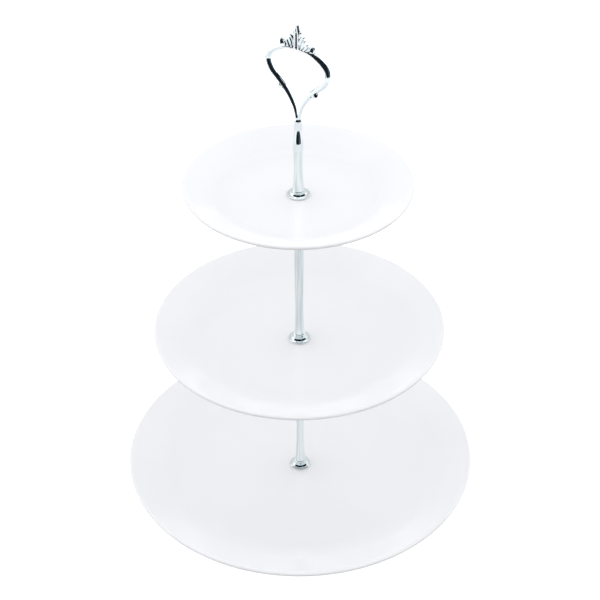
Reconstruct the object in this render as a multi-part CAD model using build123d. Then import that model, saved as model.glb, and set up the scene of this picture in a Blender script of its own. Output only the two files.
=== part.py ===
from build123d import *
from math import cos, radians, sin, tan
import os

# Three-tier cake stand. Three porcelain coupe plates are clamped on one chrome-plated stem,
# which ends in a crown-shaped carrying handle. Each tier is the same joint again: rod, domed
# washer, soft gasket, plate, gasket, washer, next rod, drawn together by a threaded stud.
#
# Millimetres. +Z is up, the origin is the centre of the base on the table, and the loop of
# the handle lies in the XZ plane.

# ---------------------------------------------------------------- plates
BOTTOM_RIM_R = 127.0  # 10 inch plate
MIDDLE_RIM_R = 101.6  # 8 inch plate
TOP_RIM_R = 76.2  # 6 inch plate
BOTTOM_DEPTH = 15.0  # floor to rim
MIDDLE_DEPTH = 13.6
TOP_DEPTH = 10.2
BOTTOM_CURVE_R = 45.0  # of the curve between the flat floor and the flare
MIDDLE_CURVE_R = 35.0
TOP_CURVE_R = 18.0
INNER_FLARE = 26.0  # degrees that the flared wall rises, inside and outside
OUTER_FLARE = 28.0
RING_SETBACK = 5.7  # the foot ring's centre line to where the underside starts to curve
BOTTOM_RING_H = 3.4  # stands the plate clear of the base screw
UPPER_RING_H = 2.2
RING_FOOT_W = 2.4  # unglazed face that the plate rests on
RING_ROOT_W = 5.0
RING_FOOT_FILLET = 0.8
RING_ROOT_FILLET = 1.2
HUB_T = 4.6  # porcelain under the washers
LIP_T = 2.6  # porcelain at the rounded rim
PLATE_HOLE_R = 4.0
HOLE_FILLET = 0.5  # glaze rounds the hole's edges

# ---------------------------------------------------------------- threads, drawn at their major diameter
STUD_R = 2.0  # M4
THREAD_CLEARANCE = 0.05  # radial, stud to tapped hole
WASHER_CLEARANCE = 0.25  # radial, stud to the holes of washers and gaskets
ENGAGEMENT = 8.0  # of a stud in each tapped hole
TAP_RUNOUT = 1.0  # tapped holes are this much deeper

# ---------------------------------------------------------------- washers, gaskets and base screw
WASHER_R = 7.6
WASHER_EDGE_H = 0.6
BOSS_FOOT_R = 5.5  # the washer's flange rises to here, then a steep boss stands on it
BOSS_FOOT_H = 1.0
BOSS_TOP_R = 5.0
WASHER_H = 2.2  # over the boss, which carries the rod
WASHER_EDGE_FILLET = 0.2
BOSS_FILLET = 0.35
GASKET_R = 7.2
GASKET_T = 0.5
SCREW_HEAD_R = 8.0
SCREW_HEAD_H = 1.8
SCREW_EDGE_H = 0.8
SCREW_LAND_R = 4.7  # flat middle of the low dome
SCREW_BULGE = 0.68  # share of the dome's height that is reached halfway in
SLOT_W = 1.4  # coin slot
SLOT_DEPTH = 0.9

# ---------------------------------------------------------------- rods
LONG_ROD_L = 110.0
SHORT_ROD_L = 32.0
BEAD_R = 4.2  # turned beads at the rod's ends
BEAD_H = 1.6
BEAD_BULGE = 0.6
FLARE_R = 3.95  # above the beads of the foot
WAIST_R = 2.7
WAIST_Z = 26.0
BELLY_R = 3.1
BELLY_Z = 55.0
LONG_ROD_TOP_R = 3.5
SHORT_WAIST_R = 2.85
SHORT_WAIST_Z = 20.0
SHORT_ROD_TOP_R = 3.4

# ---------------------------------------------------------------- handle casting
NECK_L = 21.0
NECK_FOOT_R = 3.1  # meets the short rod
NECK_BULB_R = 3.4
NECK_BULB_Z = 2.6
NECK_TOP_R = 2.5
NECK_STRAIGHT_L = 8.0  # plain stem above the bulb's long taper
ARM_ROOT_X = 0.5  # the two arms leave the neck as one stem
ARM_ROOT_R = 1.25
ARM_ROOT_SINK = 1.5  # the arms start this far inside the neck
LOOP_HALF_W = 23.1  # neck axis to the shoulder, on the arm's centre line
LOOP_H = 51.3  # neck to the middle of the arch, on the centre lines
SHOULDER_R = 1.75
ARCH_HALF_W = 10.8  # half the span of the arch that carries the petals
ARCH_RISE = 1.3
ARCH_R = 1.3
LEAF_AT = 0.3  # share of the arm's length below the leaf
LEAF_R = 1.0  # leaf on the outer side of each arm, hollow at its curled tip
LEAF_TIP_R = 1.5
LEAF_REACH = 8.2
LEAF_RISE = 4.8
LEAF_CURL = Vector(0.4, 0, 0.6)  # from the tip's centre to its hollow's, in tip radii
CROWN_H = 16.0  # middle of the arch to the tip of the middle petal
CROWN_TIP_R = 1.8
PETAL_ROOT_R = 1.0
PETAL_DROP = 0.9  # the roots reach this far below the arch's centre line
PETAL_PITCH = 2.2  # between roots
PETAL_BELLY = 0.7  # share of a petal's length below its widest place
PETALS = (  # from the middle outwards: height of the tip, lean of the tip, belly radius
    (12.3, 1.8, 1.7),
    (8.5, 2.9, 1.55),
    (5.1, 2.1, 1.3),
    (3.9, 1.9, 1.2),
    (3.2, 1.8, 1.5),
)
VEIN_R = 0.35  # groove up the middle petal
VEIN_L = 0.75  # of the crown's height
VEIN_CENTRE = 0.4

# ---------------------------------------------------------------- stack, from the table up
TAP_R = STUD_R + THREAD_CLEARANCE
TAP_DEPTH = ENGAGEMENT + TAP_RUNOUT
STUD_HOLE_R = STUD_R + WASHER_CLEARANCE
SEAT_T = GASKET_T + WASHER_H  # gasket and washer on one face of a plate
BOTTOM_FLOOR_Z = BOTTOM_RING_H + HUB_T
LOWER_ROD_Z = BOTTOM_FLOOR_Z + SEAT_T
MIDDLE_UNDER_Z = LOWER_ROD_Z + LONG_ROD_L + SEAT_T
MIDDLE_FLOOR_Z = MIDDLE_UNDER_Z + HUB_T
MIDDLE_ROD_Z = MIDDLE_FLOOR_Z + SEAT_T
TOP_UNDER_Z = MIDDLE_ROD_Z + LONG_ROD_L + SEAT_T
TOP_FLOOR_Z = TOP_UNDER_Z + HUB_T
UPPER_ROD_Z = TOP_FLOOR_Z + SEAT_T
NECK_Z = UPPER_ROD_Z + SHORT_ROD_L
LOOP_Z = NECK_Z + NECK_L

os.makedirs("parts", exist_ok=True)


def xz(x, z):
    return (x, 0, z)


def turned(*edges):
    """A lathe part: the closed half section in the XZ plane, turned about Z."""
    return revolve(make_face(edges), Axis.Z)


# ---------------------------------------------------------------- plates


def flare(lip_centre, lip_side, base_z, degrees):
    """One face of the wall: its corner with the flat face at base_z, and its end on the lip.

    lip_side is 1 on the face that looks up and -1 on the face that looks down.
    """
    rise, run = sin(radians(degrees)), cos(radians(degrees))
    end = lip_centre + Vector(-rise, 0, run) * (lip_side * LIP_T / 2)
    corner = Vector(end.X - (end.Z - base_z) * run / rise, 0, base_z)
    return corner, end


def plate(rim_r, depth, curve_r, ring_h, floor_z):
    """Coupe plate: flat floor, a curve into a straight flare, round lip, foot ring, hole in the hub."""
    under_z = floor_z - HUB_T
    outer_curve_r = curve_r + HUB_T
    lip_centre = Vector(rim_r - LIP_T / 2, 0, floor_z + depth - LIP_T / 2)
    inner_corner, inner_end = flare(lip_centre, 1, floor_z, INNER_FLARE)
    outer_corner, outer_end = flare(lip_centre, -1, under_z, OUTER_FLARE)
    facing = radians((INNER_FLARE + OUTER_FLARE) / 2)
    lip_edge = lip_centre + Vector(cos(facing), 0, sin(facing)) * (LIP_T / 2)
    curve_start = outer_corner.X - outer_curve_r * tan(radians(OUTER_FLARE / 2))
    ring_r = curve_start - RING_SETBACK
    section = FilletPolyline(
        outer_end,
        outer_corner,
        xz(ring_r + RING_ROOT_W / 2, under_z),
        xz(ring_r + RING_FOOT_W / 2, under_z - ring_h),
        xz(ring_r - RING_FOOT_W / 2, under_z - ring_h),
        xz(ring_r - RING_ROOT_W / 2, under_z),
        xz(PLATE_HOLE_R, under_z),
        xz(PLATE_HOLE_R, floor_z),
        inner_corner,
        inner_end,
        radius=[
            outer_curve_r,
            RING_ROOT_FILLET,
            RING_FOOT_FILLET,
            RING_FOOT_FILLET,
            RING_ROOT_FILLET,
            HOLE_FILLET,
            HOLE_FILLET,
            curve_r,
        ],
    )
    return turned(section, ThreePointArc(inner_end, lip_edge, outer_end))


# ---------------------------------------------------------------- washers, gaskets, studs, screw


def washer(z, faces_up):
    """Stamped washer with its flat side on the gasket at z: a thin flange round a steep boss."""
    ring = turned(
        FilletPolyline(
            xz(STUD_HOLE_R, 0),
            xz(WASHER_R, 0),
            xz(WASHER_R, WASHER_EDGE_H),
            xz(BOSS_FOOT_R, BOSS_FOOT_H),
            xz(BOSS_TOP_R, WASHER_H),
            xz(STUD_HOLE_R, WASHER_H),
            radius=[WASHER_EDGE_FILLET, WASHER_EDGE_FILLET, BOSS_FILLET, BOSS_FILLET],
        ),
        Line(xz(STUD_HOLE_R, WASHER_H), xz(STUD_HOLE_R, 0)),
    )
    if not faces_up:
        ring = mirror(ring, Plane.XY)
    return Pos(0, 0, z) * ring


def gasket(z):
    ring = Cylinder(GASKET_R, GASKET_T) - Cylinder(STUD_HOLE_R, 2 * GASKET_T)
    return Pos(0, 0, z + GASKET_T / 2) * ring


def stud(low_z, high_z):
    return Pos(0, 0, (low_z + high_z) / 2) * Cylinder(STUD_R, high_z - low_z)


def base_screw():
    """Wide low head under the bottom plate, coin slot below, shank up into the lower rod."""
    head_z = BOTTOM_RING_H - GASKET_T
    bulge = SCREW_EDGE_H + SCREW_BULGE * (SCREW_HEAD_H - SCREW_EDGE_H)
    dome = ThreePointArc(
        xz(SCREW_HEAD_R, -SCREW_EDGE_H),
        xz((SCREW_HEAD_R + SCREW_LAND_R) / 2, -bulge),
        xz(SCREW_LAND_R, -SCREW_HEAD_H),
    )
    head = turned(
        Polyline(dome @ 1, xz(0, -SCREW_HEAD_H), xz(0, 0), xz(SCREW_HEAD_R, 0), dome @ 0),
        dome,
    )
    slot = Pos(0, 0, -SCREW_HEAD_H) * Box(2 * SCREW_HEAD_R, SLOT_W, 2 * SLOT_DEPTH)
    return Pos(0, 0, head_z) * (head - slot) + stud(head_z, LOWER_ROD_Z + ENGAGEMENT)


# ---------------------------------------------------------------- rods


def tapped(body, low_z, high_z):
    """The body with a blind tapped hole up from low_z and another down from high_z."""
    hole = Cylinder(TAP_R, TAP_DEPTH)
    body -= Pos(0, 0, low_z + TAP_DEPTH / 2) * hole
    return body - Pos(0, 0, high_z - TAP_DEPTH / 2) * hole


def bead(z):
    """Turned bead, seen in half section from z upwards."""
    return ThreePointArc(
        xz(BEAD_R - BEAD_BULGE, z),
        xz(BEAD_R, z + BEAD_H / 2),
        xz(BEAD_R - BEAD_BULGE, z + BEAD_H),
    )


def long_rod(foot_z):
    """Two beads at the foot, a flare in to the waist, a slow swell and a bead at the top."""
    top_z = LONG_ROD_L
    shaft = Spline(
        xz(FLARE_R, 2 * BEAD_H),
        xz(WAIST_R, WAIST_Z),
        xz(BELLY_R, BELLY_Z),
        xz(LONG_ROD_TOP_R, top_z - BEAD_H),
        tangents=[xz(-0.1, 1), xz(0, 1)],
    )
    foot, ring, collar = bead(0), bead(BEAD_H), bead(top_z - BEAD_H)
    body = turned(
        Polyline(xz(0, top_z), xz(0, 0), foot @ 0),
        foot,
        ring,
        Line(ring @ 1, shaft @ 0),
        shaft,
        Line(shaft @ 1, collar @ 0),
        collar,
        Line(collar @ 1, xz(0, top_z)),
    )
    return Pos(0, 0, foot_z) * tapped(body, 0, top_z)


def short_rod(foot_z):
    """Foot of the handle: one bead, a cone in to a waist, a plain top."""
    shaft = Spline(
        xz(FLARE_R, BEAD_H),
        xz(SHORT_WAIST_R, SHORT_WAIST_Z),
        xz(SHORT_ROD_TOP_R, SHORT_ROD_L),
        tangents=[xz(-0.1, 1), xz(0.1, 1)],
    )
    foot = bead(0)
    body = turned(
        Polyline(xz(0, SHORT_ROD_L), xz(0, 0), foot @ 0),
        foot,
        Line(foot @ 1, shaft @ 0),
        shaft,
        Line(shaft @ 1, xz(0, SHORT_ROD_L)),
    )
    return Pos(0, 0, foot_z) * tapped(body, 0, SHORT_ROD_L)


# ---------------------------------------------------------------- crown handle


def along(path, *radii):
    """Round bar that follows a path; its radius runs through the values at even steps."""
    last = len(radii) - 1
    places = [path.location_at(i / last) for i in range(last + 1)]
    discs = [place * Circle(radius) for place, radius in zip(places, radii)]
    return sweep(discs, path=path, multisection=last > 0)


def neck():
    """Bulb on the short rod, a long taper and a straight stem, with a tapped hole from below."""
    side = Spline(
        xz(NECK_FOOT_R, 0),
        xz(NECK_BULB_R, NECK_BULB_Z),
        xz(NECK_TOP_R, NECK_L - NECK_STRAIGHT_L),
        tangents=[xz(1, 1), xz(0, 1)],
    )
    body = turned(
        Polyline(xz(0, NECK_L), xz(0, 0), side @ 0),
        side,
        Polyline(side @ 1, xz(NECK_TOP_R, NECK_L), xz(0, NECK_L)),
    )
    return body - Pos(0, 0, TAP_DEPTH / 2) * Cylinder(TAP_R, TAP_DEPTH)


def arm_path():
    """Centre line of the right arm: S curve out from the neck, round the shoulder, in to the arch."""
    w, h = LOOP_HALF_W, LOOP_H
    return Spline(
        xz(ARM_ROOT_X, -ARM_ROOT_SINK),
        xz(0.11 * w, 0.175 * h),
        xz(0.33 * w, 0.355 * h),
        xz(0.59 * w, 0.487 * h),
        xz(0.87 * w, 0.61 * h),
        xz(w, 0.756 * h),
        xz(0.87 * w, 0.864 * h),
        xz(ARCH_HALF_W, h - ARCH_RISE),
        tangents=[xz(0, 1), xz(-1, 0.4)],
    )


def leaf(root):
    """Small leaf that leaves the arm's outer side and curls up at its tip."""
    tip = root + Vector(LEAF_REACH, 0, LEAF_RISE)
    stem = Spline(root, tip, tangents=[xz(1, 0.35), xz(1, 0.7)])
    hollow = Pos(tip + LEAF_CURL * LEAF_TIP_R) * Sphere(LEAF_TIP_R)
    return along(stem, LEAF_R, LEAF_R, LEAF_TIP_R) + Pos(tip) * Sphere(LEAF_TIP_R) - hollow


def petal(root, tip, belly_r):
    """Drop-shaped petal turned about the line from its root to its tip."""
    length = (tip - root).length
    side = Spline(
        xz(PETAL_ROOT_R, 0),
        xz(belly_r, PETAL_BELLY * length),
        xz(0, length),
        tangents=[xz(0.1, 1), xz(-1, 0)],
    )
    drop = turned(Polyline(xz(0, length), xz(0, 0), side @ 0), side)
    return Plane(root, x_dir=(0, 1, 0), z_dir=tip - root).location * drop


def crown():
    """Fan of petals that stand side by side on the arch, tallest in the middle."""
    arch = ThreePointArc(
        xz(-ARCH_HALF_W, LOOP_H - ARCH_RISE),
        xz(0, LOOP_H),
        xz(ARCH_HALF_W, LOOP_H - ARCH_RISE),
    )
    foot_z = LOOP_H - PETAL_DROP
    middle = petal(Vector(0, 0, foot_z), Vector(0, 0, LOOP_H + CROWN_H), CROWN_TIP_R)
    body = along(arch, ARCH_R, ARCH_R) + middle
    for place, (height, lean, belly_r) in enumerate(PETALS):
        x = (place + 0.5) * PETAL_PITCH
        root = Vector(x, 0, foot_z - ARCH_RISE * (x / ARCH_HALF_W) ** 2)
        side = petal(root, Vector(x + lean, 0, LOOP_H + height), belly_r)
        body += side + mirror(side, Plane.YZ)
    vein = Pos(0, 0, LOOP_H + VEIN_CENTRE * CROWN_H) * Cylinder(VEIN_R, VEIN_L * CROWN_H)
    return body - Pos(0, CROWN_TIP_R, 0) * vein - Pos(0, -CROWN_TIP_R, 0) * vein


def handle():
    path = arm_path()
    arm = along(path, ARM_ROOT_R, SHOULDER_R, SHOULDER_R, ARCH_R)
    arm += leaf(path @ LEAF_AT)
    loop = arm + mirror(arm, Plane.YZ) + crown()
    return Pos(0, 0, NECK_Z) * (neck() + Pos(0, 0, NECK_L) * loop)


# ---------------------------------------------------------------- the nodes
nodes = {
    "plate_bottom": plate(
        BOTTOM_RIM_R, BOTTOM_DEPTH, BOTTOM_CURVE_R, BOTTOM_RING_H, BOTTOM_FLOOR_Z
    ),
    "plate_middle": plate(
        MIDDLE_RIM_R, MIDDLE_DEPTH, MIDDLE_CURVE_R, UPPER_RING_H, MIDDLE_FLOOR_Z
    ),
    "plate_top": plate(TOP_RIM_R, TOP_DEPTH, TOP_CURVE_R, UPPER_RING_H, TOP_FLOOR_Z),
    "base_screw": base_screw(),
    "rod_lower": long_rod(LOWER_ROD_Z),
    "rod_middle": long_rod(MIDDLE_ROD_Z),
    "rod_upper": short_rod(UPPER_ROD_Z),
    "stud_middle": stud(MIDDLE_UNDER_Z - SEAT_T - ENGAGEMENT, MIDDLE_ROD_Z + ENGAGEMENT),
    "stud_top": stud(TOP_UNDER_Z - SEAT_T - ENGAGEMENT, UPPER_ROD_Z + ENGAGEMENT),
    "stud_handle": stud(NECK_Z - ENGAGEMENT, NECK_Z + ENGAGEMENT),
    "handle_crown": handle(),
}
for tier, under_z in (("bottom", BOTTOM_RING_H), ("middle", MIDDLE_UNDER_Z), ("top", TOP_UNDER_Z)):
    floor_z = under_z + HUB_T
    nodes["gasket_below_" + tier] = gasket(under_z - GASKET_T)
    nodes["gasket_above_" + tier] = gasket(floor_z)
    nodes["washer_above_" + tier] = washer(floor_z + GASKET_T, faces_up=True)
    if tier != "bottom":
        nodes["washer_below_" + tier] = washer(under_z - GASKET_T, faces_up=False)

for name, solid in nodes.items():
    export_step(solid, f"parts/{name}.step")
    print(name, round(solid.volume), "mm3")
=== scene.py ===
# %% [markdown]
# # A three-tier cake stand
# Three white porcelain plates are clamped on one chrome stem that ends in a crown handle. The
# CAD model fixes every size and place. This lesson dresses it: each turned piece is swept from
# its half section, the handle is cast in one smooth skin, and every finish is a node material.

# %% The frame
import cmath
import math

import bmesh
import bpy
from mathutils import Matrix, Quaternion, Vector


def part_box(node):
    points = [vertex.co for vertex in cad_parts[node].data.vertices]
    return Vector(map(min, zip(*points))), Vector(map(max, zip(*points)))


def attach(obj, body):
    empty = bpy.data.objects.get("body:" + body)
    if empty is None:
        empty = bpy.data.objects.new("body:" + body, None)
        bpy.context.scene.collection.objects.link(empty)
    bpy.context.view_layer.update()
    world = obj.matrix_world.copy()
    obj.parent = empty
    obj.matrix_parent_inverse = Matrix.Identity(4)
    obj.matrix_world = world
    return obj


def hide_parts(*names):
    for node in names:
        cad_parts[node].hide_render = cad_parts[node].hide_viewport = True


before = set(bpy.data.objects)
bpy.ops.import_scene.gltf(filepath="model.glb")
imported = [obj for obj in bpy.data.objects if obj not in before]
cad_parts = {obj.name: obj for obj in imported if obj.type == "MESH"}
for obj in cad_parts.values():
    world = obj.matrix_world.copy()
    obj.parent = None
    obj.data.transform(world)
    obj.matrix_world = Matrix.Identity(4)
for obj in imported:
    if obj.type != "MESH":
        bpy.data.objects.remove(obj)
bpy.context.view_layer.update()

# %% [markdown]
# ## Units
# The maker thinks in millimetres and Blender in metres, so sizes are written in millimetres and
# each mesh is scaled once. Heights come from the CAD nodes, so a piece always meets its seat.

# %% Millimetres and seats
MM = 0.001


def low_high(node):
    """Lowest and highest point of a CAD node in millimetres."""
    low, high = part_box(node)
    return low.z / MM, high.z / MM


for node in ("plate_bottom", "rod_lower", "handle_crown"):
    print(node, [round(v, 2) for v in low_high(node)])

# %% [markdown]
# ## Colours and nodes
# Colours are picked as sRGB hex values, as on a paint card. Blender works in linear light, so
# one function converts them. A second one adds any shader node with its settings and its links,
# which keeps each material readable as a short list.

# %% Two helpers for materials


def linear(hex_colour):
    """sRGB hex such as "f2f3f5" to linear RGBA."""
    channels = [int(hex_colour[i:i + 2], 16) / 255 for i in (0, 2, 4)]
    return [c / 12.92 if c <= 0.04045 else ((c + 0.055) / 1.055) ** 2.4 for c in channels] + [1]


def add(tree, kind, inputs=(), **settings):
    """A node of that kind; each input is a value, or a link from another node's output."""
    node = tree.nodes.new(kind)
    for name, value in settings.items():
        setattr(node, name, value)
    for name, value in dict(inputs).items():
        if isinstance(value, bpy.types.NodeSocket):
            tree.links.new(value, node.inputs[name])
        else:
            node.inputs[name].default_value = value
    return node


def new_material(name):
    """An empty material: its node tree and its output node."""
    material = bpy.data.materials.new(name)
    material.use_nodes = True
    tree = material.node_tree
    tree.nodes.clear()
    return material, tree, add(tree, "ShaderNodeOutputMaterial")


print("white as linear:", [round(c, 3) for c in linear("f4f5f7")[:3]])

# %% [markdown]
# ## Glazed porcelain
# Hard porcelain is fired under a clear glaze. The glaze is glass-smooth, about 0.3 mm thick, and
# never quite flat: it settles in long, shallow waves that make reflections drift a little. The
# body below is white with a cold cast. So the base colour is nearly white, the roughness is low,
# and one very soft bump, some 14 mm from crest to crest, bends the reflections.

# %% Porcelain
WAVE_MM = 14.0
CLAY_GRAIN_MM = 0.5  # the real grain is finer; it is drawn as coarse as it needs to show


def glazed_porcelain():
    """White body under clear glaze: soft and bright, with a clear reflection on top."""
    material, tree, out = new_material("glazed porcelain")
    place = add(tree, "ShaderNodeTexCoord")
    wave = add(tree, "ShaderNodeTexNoise", {
        "Vector": place.outputs["Object"], "Scale": 1 / (WAVE_MM * MM), "Detail": 1.0})
    bump = add(tree, "ShaderNodeBump", {
        "Height": wave.outputs["Fac"], "Strength": 0.12, "Distance": 0.4 * MM})
    body = add(tree, "ShaderNodeBsdfPrincipled", {
        "Base Color": linear("fafbfd"), "Roughness": 0.09, "IOR": 1.5,
        "Normal": bump.outputs["Normal"]})
    tree.links.new(body.outputs["BSDF"], out.inputs["Surface"])
    return material


def bare_clay():
    """The foot ring is wiped clean before firing, or the plate would fuse to the kiln shelf."""
    material, tree, out = new_material("unglazed porcelain")
    place = add(tree, "ShaderNodeTexCoord")
    grain = add(tree, "ShaderNodeTexNoise", {
        "Vector": place.outputs["Object"], "Scale": 1 / (CLAY_GRAIN_MM * MM), "Detail": 3.0})
    shade = add(tree, "ShaderNodeMix", {
        "Factor": grain.outputs["Fac"], 6: linear("dcd8d0"), 7: linear("eae7e1")},
        data_type="RGBA")
    bump = add(tree, "ShaderNodeBump", {
        "Height": grain.outputs["Fac"], "Strength": 0.5, "Distance": 0.05 * MM})
    body = add(tree, "ShaderNodeBsdfPrincipled", {
        "Base Color": shade.outputs[2], "Roughness": 0.75, "Normal": bump.outputs["Normal"]})
    tree.links.new(body.outputs["BSDF"], out.inputs["Surface"])
    return material


porcelain, clay = glazed_porcelain(), bare_clay()
print(porcelain.name, "and", clay.name)

# %% [markdown]
# ## Chrome
# The stem and handle are polished, nickelled and chromed: a mirror with a faint blue cast. Turned,
# pressed and cast parts are polished in different ways, so each keeps its own unevenness. Rods
# also show the lines of the drawn bar they are cut from, and the casting's grooves are painted
# dark as shade.

# %% Chrome plate
CHROME = "dfe6e8"
LINE_STRETCH = 0.03  # the noise is drawn out lengthwise by one over this


def chrome(name, roughness, wave_mm):
    """Bright chrome plate. Polishing leaves a soft unevenness about wave_mm long."""
    material, tree, out = new_material(name)
    place = add(tree, "ShaderNodeTexCoord")
    wave = add(tree, "ShaderNodeTexNoise", {
        "Vector": place.outputs["Object"], "Scale": 1 / (wave_mm * MM), "Detail": 2.0})
    bump = add(tree, "ShaderNodeBump", {
        "Height": wave.outputs["Fac"], "Strength": 0.1, "Distance": 0.03 * MM})
    wipe = add(tree, "ShaderNodeMapRange", {
        "Value": wave.outputs["Fac"], "To Min": roughness, "To Max": 1.8 * roughness})
    body = add(tree, "ShaderNodeBsdfPrincipled", {
        "Base Color": linear(CHROME), "Metallic": 1.0, "Roughness": wipe.outputs["Result"],
        "Normal": bump.outputs["Normal"]})
    tree.links.new(body.outputs["BSDF"], out.inputs["Surface"])
    return material


def tint(material, share, low, high):
    """Colours the plate from low to high, as the share runs from 0 to 1."""
    tree = material.node_tree
    tone = add(tree, "ShaderNodeMix", {"Factor": share, 6: linear(low), 7: linear(high)},
               data_type="RGBA")
    body = next(node for node in tree.nodes if node.type == "BSDF_PRINCIPLED")
    tree.links.new(tone.outputs[2], body.inputs["Base Color"])


def paint_groove_shade(material):
    """Paints shade into the casting's grooves: the base colour turns near black where they are
    deep.
    """
    recess_shade = add(material.node_tree, "ShaderNodeAttribute", attribute_name="recess_shade")
    # painted shade: near-black base colour in the grooves
    tint(material, recess_shade.outputs["Fac"], CHROME, "20262c")


def draw_lines(material, pitch_mm):
    """Rods are cut from drawn bar, and its lengthwise lines show faintly through the plating.

    Real lines lie much closer; these are drawn as coarse as they need to show.
    """
    tree = material.node_tree
    place = add(tree, "ShaderNodeTexCoord")
    along = add(tree, "ShaderNodeMapping", {
        "Vector": place.outputs["Object"], "Scale": (1, 1, LINE_STRETCH)})
    lines = add(tree, "ShaderNodeTexNoise", {
        "Vector": along.outputs["Vector"], "Scale": 1 / (pitch_mm * MM), "Detail": 2.0})
    shade = add(tree, "ShaderNodeMapRange", {
        "Value": lines.outputs["Fac"], "From Min": 0.35, "From Max": 0.6})
    tint(material, shade.outputs["Result"], "c8d1d3", "e8eeef")


turned_chrome = chrome("chrome-plated turned steel", 0.035, 6.0)
pressed_chrome = chrome("chrome-plated pressed steel", 0.03, 9.0)
cast_chrome = chrome("chrome-plated zinc casting", 0.045, 2.5)
draw_lines(turned_chrome, 1.6)
# the casting's grooves get painted shade
paint_groove_shade(cast_chrome)
print(*(plate.name for plate in (turned_chrome, pressed_chrome, cast_chrome)), sep=" / ")

# %% [markdown]
# ## Vinyl and zinc
# The gaskets are soft clear vinyl, moulded, a little hazy and waxy: some light goes in and comes
# out close by. The studs are steel rod with plain zinc plate, a dull grey metal whose spangle
# scatters its shine.

# %% Gaskets and studs


def clear_vinyl():
    material, tree, out = new_material("soft clear vinyl")
    place = add(tree, "ShaderNodeTexCoord")
    haze = add(tree, "ShaderNodeTexNoise", {
        "Vector": place.outputs["Object"], "Scale": 1 / (2 * MM), "Detail": 2.0})
    wipe = add(tree, "ShaderNodeMapRange", {
        "Value": haze.outputs["Fac"], "To Min": 0.22, "To Max": 0.34})
    body = add(tree, "ShaderNodeBsdfPrincipled", {
        "Base Color": linear("e3e5e6"), "Roughness": wipe.outputs["Result"], "IOR": 1.53,
        "Subsurface Weight": 0.3, "Subsurface Radius": (0.8, 0.8, 0.8), "Subsurface Scale": MM})
    tree.links.new(body.outputs["BSDF"], out.inputs["Surface"])
    return material


def zinc_plate():
    material, tree, out = new_material("zinc-plated steel")
    place = add(tree, "ShaderNodeTexCoord")
    spangle = add(tree, "ShaderNodeTexNoise", {
        "Vector": place.outputs["Object"], "Scale": 1 / (0.8 * MM), "Detail": 3.0})
    wipe = add(tree, "ShaderNodeMapRange", {
        "Value": spangle.outputs["Fac"], "To Min": 0.24, "To Max": 0.42})
    body = add(tree, "ShaderNodeBsdfPrincipled", {
        "Base Color": linear("c3c6c8"), "Metallic": 1.0, "Roughness": wipe.outputs["Result"]})
    tree.links.new(body.outputs["BSDF"], out.inputs["Surface"])
    return material


vinyl, zinc = clear_vinyl(), zinc_plate()
print(vinyl.name, "/", zinc.name)

# %% [markdown]
# ## Half sections
# A plate on the wheel and a rod in the lathe follow one rule: a half section goes once round the
# axis. The section is a short list of runs, each a straight line, an arc through three points or
# a smooth line through several. Points are (distance from the axis, height) in millimetres.

# %% Runs of a half section
SAME_POINT = 1e-4  # mm


def arc(start, middle, end, steps=10):
    """Points of the circle through the three points."""
    a, b, c = (complex(*p) for p in (start, middle, end))
    ratio = (c - a) / (b - a)
    centre = (b - a) * (ratio - abs(ratio) ** 2) / (2j * ratio.imag) + a
    turn, half = (cmath.phase((p - centre) / (a - centre)) for p in (c, b))
    if (half > 0) != (turn > 0):
        turn -= math.copysign(math.tau, turn)
    points = [centre + (a - centre) * cmath.rect(1, turn * i / steps) for i in range(steps + 1)]
    return [(p.real, p.imag) for p in points]


def smooth(points, steps=10, start=None, end=None):
    """A smooth line through the points; start and end are its directions there, if given."""
    knots = [Vector(p) for p in points]
    slopes = [knots[1] - knots[0]]
    slopes += [(after - before) / 2 for before, after in zip(knots, knots[2:])]
    slopes += [knots[-1] - knots[-2]]
    if start:
        slopes[0] = Vector(start).normalized() * slopes[0].length
    if end:
        slopes[-1] = Vector(end).normalized() * slopes[-1].length
    line = [tuple(knots[0])]
    for k in range(len(knots) - 1):
        p, q, u, v = knots[k], knots[k + 1], slopes[k], slopes[k + 1]
        for i in range(1, steps + 1):
            t = i / steps
            point = (2 * t**3 - 3 * t**2 + 1) * p + (t**3 - 2 * t**2 + t) * u
            line.append(tuple(point + (3 * t**2 - 2 * t**3) * q + (t**3 - t**2) * v))
    return line


def joined(*runs):
    """The runs end to end, with no point twice."""
    line = []
    for point in (point for run in runs for point in run):
        if not line or math.dist(point, line[-1]) > SAME_POINT:
            line.append(point)
    return line


def rounded(points, radii, steps=5):
    """A broken line whose inner corners are rounded, each with its own radius."""
    line = [points[0]]
    for before, corner, after, radius in zip(points, points[1:], points[2:], radii):
        c = Vector(corner)
        u, v = (Vector(before) - c).normalized(), (Vector(after) - c).normalized()
        half = math.acos(max(-1, min(1, u.dot(v)))) / 2
        cut = radius / math.tan(half)
        centre = c + (u + v).normalized() * radius / math.sin(half)
        nearest = centre + (c - centre).normalized() * radius
        line += arc(tuple(c + u * cut), tuple(nearest), tuple(c + v * cut), steps)
    return line + list(points[len(radii) + 1:])


print("a bead in half section has", len(arc((3, 0), (4, 1), (3, 2))), "points")

# %% [markdown]
# ## The wheel
# Geometry Nodes turn the section: a small circle round the axis is the path, and the section is
# the profile swept along it. The same tree makes plates, washers and rods. It welds the poles,
# keeps the crisp corners crisp, and gives the lowest faces of a plate their bare clay.

# %% A tree that turns a half section
PATH_R = 1.0  # mm; the section is drawn from there
WELD = 0.0005  # mm
CRISP_ANGLE = math.radians(32)


def tree_with(name, sockets):
    """A geometry tree with the named inputs: its input and output nodes."""
    tree = bpy.data.node_groups.new(name, "GeometryNodeTree")
    tree.interface.new_socket("Geometry", in_out="OUTPUT", socket_type="NodeSocketGeometry")
    for label, kind in sockets:
        tree.interface.new_socket(label, in_out="INPUT", socket_type="NodeSocket" + kind)
    return tree, tree.nodes.new("NodeGroupInput").outputs, tree.nodes.new("NodeGroupOutput")


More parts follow.
